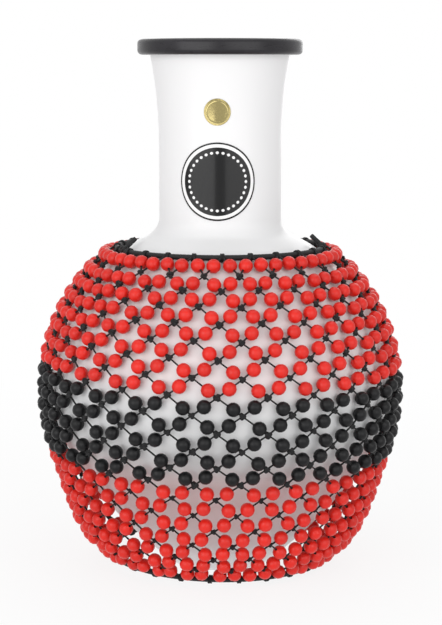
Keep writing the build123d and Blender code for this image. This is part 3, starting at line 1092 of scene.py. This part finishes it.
def braid(sizes):
    """The relief of a braided rope, by the angle round it and the length along it."""
    count = sizes.braid_strands
    rest_level = 0.6

    def relief(turn, run):
        lay = math.tau * run / sizes.braid_pitch
        over = math.cos(count * (turn + lay))
        under = math.cos(count * (turn - lay))
        return sizes.braid_relief * (max(over, under) - rest_level)

    return relief


def build_ring(sizes, name, node, body):
    """A ring of braided rope in the place of a node."""
    centre, normal, radius, rope = ring_place(node)
    across = normal.orthogonal().normalized()
    up = normal.cross(across)
    pitches = round(math.tau * radius / sizes.braid_pitch)
    count = pitches * round(sizes.braid_pitch / sizes.rope_step)
    line = [centre + (across * math.cos(turn) + up * math.sin(turn)) * radius for turn in full_turn(count)]
    shape = bmesh.new()
    tube(shape, line, [rope] * count, sizes.rope_sides, closed=True, bulge=braid(sizes))
    settle_mesh(name, mesh_of(shape, name), body, node, "rope_fibre")


def lashing_shape(sizes):
    """A few close turns of cord round the Z axis."""
    steps_in_turn = 14
    steps = steps_in_turn * sizes.lashing_turns
    reach = sizes.lashing_inner + sizes.lashing_cord
    line = []
    for step in range(steps + 1):
        turn = math.tau * sizes.lashing_turns * step / steps
        rise = sizes.lashing_pitch * sizes.lashing_turns * (step / steps - 0.5)
        line.append(Vector((reach * math.cos(turn), reach * math.sin(turn), rise)))
    shape = bmesh.new()
    tube(shape, line, [sizes.lashing_cord] * len(line), sides=6)
    return link_object("lashing", mesh_of(shape, "lashing"))


def build_lashings(sizes, name, node, body):
    """The lashings of a ring of rope."""
    places = lashing_places(node)
    shape = lashing_shape(sizes)
    facing = [outward(centre) for centre, _ in places]
    piece = set_on_places(name, shape, places, facing, "cord_fibre", sizes.lashing_jitter, sizes.seed)
    drop(shape)
    settle(smooth(piece), body, node)


def rope_tail(sizes, start, way, aside, reach):
    """The line and radii of a loose tail of rope, which bends aside and is cut off with a soft edge."""
    bend = aside * reach * 0.1
    edge_start = 0.96
    edge_share = 0.86
    fewest_steps = 8
    count = max(fewest_steps, round(reach / sizes.rope_step))
    shares = [step / count for step in range(count + 1)]
    path = [start + way * reach * share + bend * share**2 for share in shares]
    thick = [sizes.tail_radius * (1.0 if share < edge_start else edge_share) for share in shares]
    return path, thick


def build_rope_knot(sizes, name, node, ring, body, offset, tails):
    """A tied lump of rope on a ring, moved outwards and upwards by an offset, with its loose tails."""
    centre, normal, radius, _ = ring_place(ring)
    low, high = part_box(node)
    out = outward((low + high) / 2)
    along = normal.cross(out).normalized()
    seat = centre + (out - normal * out.dot(normal)).normalized() * radius
    middle = seat + out * offset[0] + Vector((0, 0, offset[1]))
    turn = Matrix((along, out, along.cross(out))).transposed()
    steps = 72
    sides = 16
    loops = trefoil(sizes.rope_knot_reach - sizes.rope_knot_cord, steps)
    line = [middle + turn @ spot for spot in loops]
    relief = braid(sizes)
    shape = bmesh.new()
    tube(shape, line, [sizes.rope_knot_cord] * steps, sides, closed=True, bulge=relief)
    for (outwards, upwards), reach in tails:
        way = (out * outwards + Vector((0, 0, upwards))).normalized()
        path, thick = rope_tail(sizes, middle, way, along, reach)
        tube(shape, path, thick, sides, bulge=relief)
    settle_mesh(name, mesh_of(shape, name), body, node, "rope_fibre", crease=math.radians(65))


# Stage

def seen_rays(tree):
    """1 for the rays that show the surroundings: to the camera, in a reflection or through glass."""
    rays = add_node(tree, "ShaderNodeLightPath", {}).outputs
    mirrored = math_node(tree, "MAXIMUM", rays["Is Glossy Ray"], rays["Is Transmission Ray"])
    return math_node(tree, "MAXIMUM", rays["Is Camera Ray"], mirrored)


def pale_floor(tint):
    """A pale floor that is plain white where seen away from the object, and keeps its shadow."""
    material, tree, shader, place = new_material("pale_floor")
    far = add_node(tree, "ShaderNodeVectorMath", {0: place}, operation="LENGTH").outputs["Value"]
    share = between(tree, far, low=0.86, high=1.0, start=0.2, end=0.8)
    shown = math_node(tree, "MULTIPLY", share, between(tree, seen_rays(tree), low=0.75))
    grain = noise(tree, place, scale=60.0)
    connect(tree, shader, Base_Color=blend_colours(tree, grain, rgba(tint), rgba(tint, 0.98)))
    shader.inputs["Roughness"].default_value = 0.8
    glow = add_node(tree, "ShaderNodeEmission", {"Color": (1, 1, 1, 1), "Strength": 1.0}).outputs[0]
    mixed = add_node(tree, "ShaderNodeMixShader", {0: shown, 1: shader.outputs[0], 2: glow}).outputs[0]
    tree.links.new(mixed, tree.nodes["Material Output"].inputs["Surface"])
    return material


def build_floor(tint):
    shape = bmesh.new()
    bmesh.ops.create_circle(shape, cap_ends=True, segments=96, radius=9.0)
    floor = link_object("studio_floor", mesh_of(shape, "studio_floor"))
    floor.data.materials.append(pale_floor(tint))


def build_world():
    """Soft white surroundings: plain white where seen or reflected, and dimmer as a light."""
    world = bpy.data.worlds.new("studio")
    world.use_nodes = True
    tree = world.node_tree
    background = tree.nodes["Background"]
    strength = between(tree, seen_rays(tree), low=0.46)
    background.inputs["Color"].default_value = (1.0, 1.0, 1.0, 1.0)
    tree.links.new(strength, background.inputs["Strength"])
    bpy.context.scene.world = world


def add_softbox(name, place, width, height, power):
    """A large soft lamp that points at the middle of the object."""
    aim = Vector((0, 0, 0.2))
    lamp = bpy.data.lights.new(name, "AREA")
    lamp.shape = "RECTANGLE"
    lamp.size = width
    lamp.size_y = height
    lamp.energy = power
    holder = link_object(name, lamp)
    holder.location = place
    holder.rotation_euler = (aim - Vector(place)).to_track_quat("-Z", "Y").to_euler()


def add_camera():
    """The camera at the photograph's place, looking slightly down at the middle of the object."""
    aim = Vector((0.0007, 0.0, 0.2008))
    pitch = math.radians(8.14)
    distance = 1.40
    data = bpy.data.cameras.new("camera")
    data.lens = 100.8
    data.sensor_width = 36.0
    camera = link_object("camera", data)
    camera.location = aim + Vector((0, -math.cos(pitch), math.sin(pitch))) * distance
    camera.rotation_euler = (math.pi / 2 - pitch, 0, 0)
    bpy.context.scene.camera = camera


# Operators, one for each piece or group of like pieces

class SHEKERE_OT_shell(bpy.types.Operator):
    """Build the hollow shell"""

    bl_idname = "shekere.shell"
    bl_label = "Shell"

    def execute(self, context):
        build_shell(context.scene.shekere_shell)
        return {"FINISHED"}


class SHEKERE_OT_trim(bpy.types.Operator):
    """Build the rubber trim of the rim"""

    bl_idname = "shekere.trim"
    bl_label = "Rim trim"

    def execute(self, context):
        build_trim(context.scene.shekere_shell)
        return {"FINISHED"}


class SHEKERE_OT_labels(bpy.types.Operator):
    """Build the badge and the foil seal on the neck"""

    bl_idname = "shekere.labels"
    bl_label = "Labels"

    def execute(self, context):
        sizes = context.scene.shekere_shell
        build_label(sizes, "badge_face", "badge_disc", sizes.badge_lift, "badge_print")
        build_label(sizes, "foil_face", "foil_seal", sizes.foil_lift, "gold_foil")
        return {"FINISHED"}


class SHEKERE_OT_collar(bpy.types.Operator):
    """Build the collar rope with its lashings and knots"""

    bl_idname = "shekere.collar"
    bl_label = "Collar"

    def execute(self, context):
        sizes = context.scene.shekere_net
        build_ring(sizes, "collar_braid", "collar_rope", "collar")
        build_lashings(sizes, "collar_turns", "collar_lashings", "collar")
        offset = (-0.00045, 0.00175)
        inwards_up = (-0.74, 0.67)
        tails = [(inwards_up, sizes.collar_tail)]
        for side in ("left", "right"):
            name = f"collar_tie_{side}"
            build_rope_knot(sizes, name, f"collar_knot_{side}", "collar_rope", "collar", offset, tails)
        return {"FINISHED"}


class SHEKERE_OT_beads(bpy.types.Operator):
    """String the rows of beads"""

    bl_idname = "shekere.beads"
    bl_label = "Beads"

    def execute(self, context):
        build_beads(context.scene.shekere_net)
        return {"FINISHED"}


class SHEKERE_OT_cords(bpy.types.Operator):
    """Tie the cords and knots of the net"""

    bl_idname = "shekere.cords"
    bl_label = "Cords"

    def execute(self, context):
        sizes = context.scene.shekere_net
        firm = knot_shape(sizes)
        loose = knot_shape(sizes, sizes.loose_knot)
        build_top_cords(sizes, firm)
        for index, row in enumerate(cord_rows):
            if index + 1 < sizes.loose_row:
                build_cord_row(sizes, firm, index, row, 0.0)
            else:
                build_cord_row(sizes, loose, index, row, sizes.loose_tuck)
        drop(firm)
        drop(loose)
        return {"FINISHED"}


class SHEKERE_OT_hem(bpy.types.Operator):
    """Build the hem rope with its lashings and knot"""

    bl_idname = "shekere.hem"
    bl_label = "Hem"

    def execute(self, context):
        sizes = context.scene.shekere_net
        build_ring(sizes, "hem_braid", "hem_rope", "net")
        build_lashings(sizes, "hem_turns", "hem_lashings", "net")
        offset = (-0.0021, 0.0013)
        outwards_up = (0.40, 0.92)
        inwards = (-0.90, 0.43)
        tails = [(outwards_up, sizes.hem_tail_long), (inwards, sizes.hem_tail_short)]
        build_rope_knot(sizes, "hem_tie", "hem_knot", "hem_rope", "net", offset, tails)
        return {"FINISHED"}


class SHEKERE_OT_stage(bpy.types.Operator):
    """Set the floor, the light and the camera"""

    bl_idname = "shekere.stage"
    bl_label = "Stage"

    def execute(self, context):
        build_floor(context.scene.shekere_finishes.floor)
        build_world()
        add_softbox("softbox_left", (-1.12, -1.7, 0.72), width=1.9, height=1.5, power=22)
        add_softbox("softbox_right", (1.12, -1.7, 0.72), width=1.9, height=1.5, power=15.5)
        add_softbox("softbox_top", (0, 0.1, 2.0), width=1.8, height=1.8, power=11)
        add_softbox("softbox_back", (0.3, 2.2, 0.9), width=1.6, height=1.4, power=9)
        add_camera()
        context.scene.view_settings.view_transform = "Standard"
        return {"FINISHED"}


class SHEKERE_PT_panel(bpy.types.Panel):
    """The shekere's pieces and sizes"""

    bl_label = "Shekere"
    bl_idname = "SHEKERE_PT_panel"
    bl_space_type = "VIEW_3D"
    bl_region_type = "UI"
    bl_category = "Shekere"

    def draw(self, context):
        for operator in operators:
            self.layout.operator(operator.bl_idname)
        for group in ("shekere_shell", "shekere_net", "shekere_finishes"):
            box = self.layout.box()
            settings = getattr(context.scene, group)
            for name in settings.__annotations__:
                box.prop(settings, name)


operators = (
    SHEKERE_OT_shell,
    SHEKERE_OT_trim,
    SHEKERE_OT_labels,
    SHEKERE_OT_collar,
    SHEKERE_OT_beads,
    SHEKERE_OT_cords,
    SHEKERE_OT_hem,
    SHEKERE_OT_stage,
)
classes = (ShellSizes, NetSizes, Finishes, *operators, SHEKERE_PT_panel)


def register():
    for cls in classes:
        bpy.utils.register_class(cls)
    bpy.types.Scene.shekere_shell = PointerProperty(type=ShellSizes)
    bpy.types.Scene.shekere_net = PointerProperty(type=NetSizes)
    bpy.types.Scene.shekere_finishes = PointerProperty(type=Finishes)


def unregister():
    del bpy.types.Scene.shekere_finishes
    del bpy.types.Scene.shekere_net
    del bpy.types.Scene.shekere_shell
    for cls in reversed(classes):
        bpy.utils.unregister_class(cls)


def main():
    register()
    bpy.ops.shekere.shell()
    bpy.ops.shekere.trim()
    bpy.ops.shekere.labels()
    bpy.ops.shekere.collar()
    bpy.ops.shekere.beads()
    bpy.ops.shekere.cords()
    bpy.ops.shekere.hem()
    bpy.ops.shekere.stage()


if __name__ == "__main__":
    main()
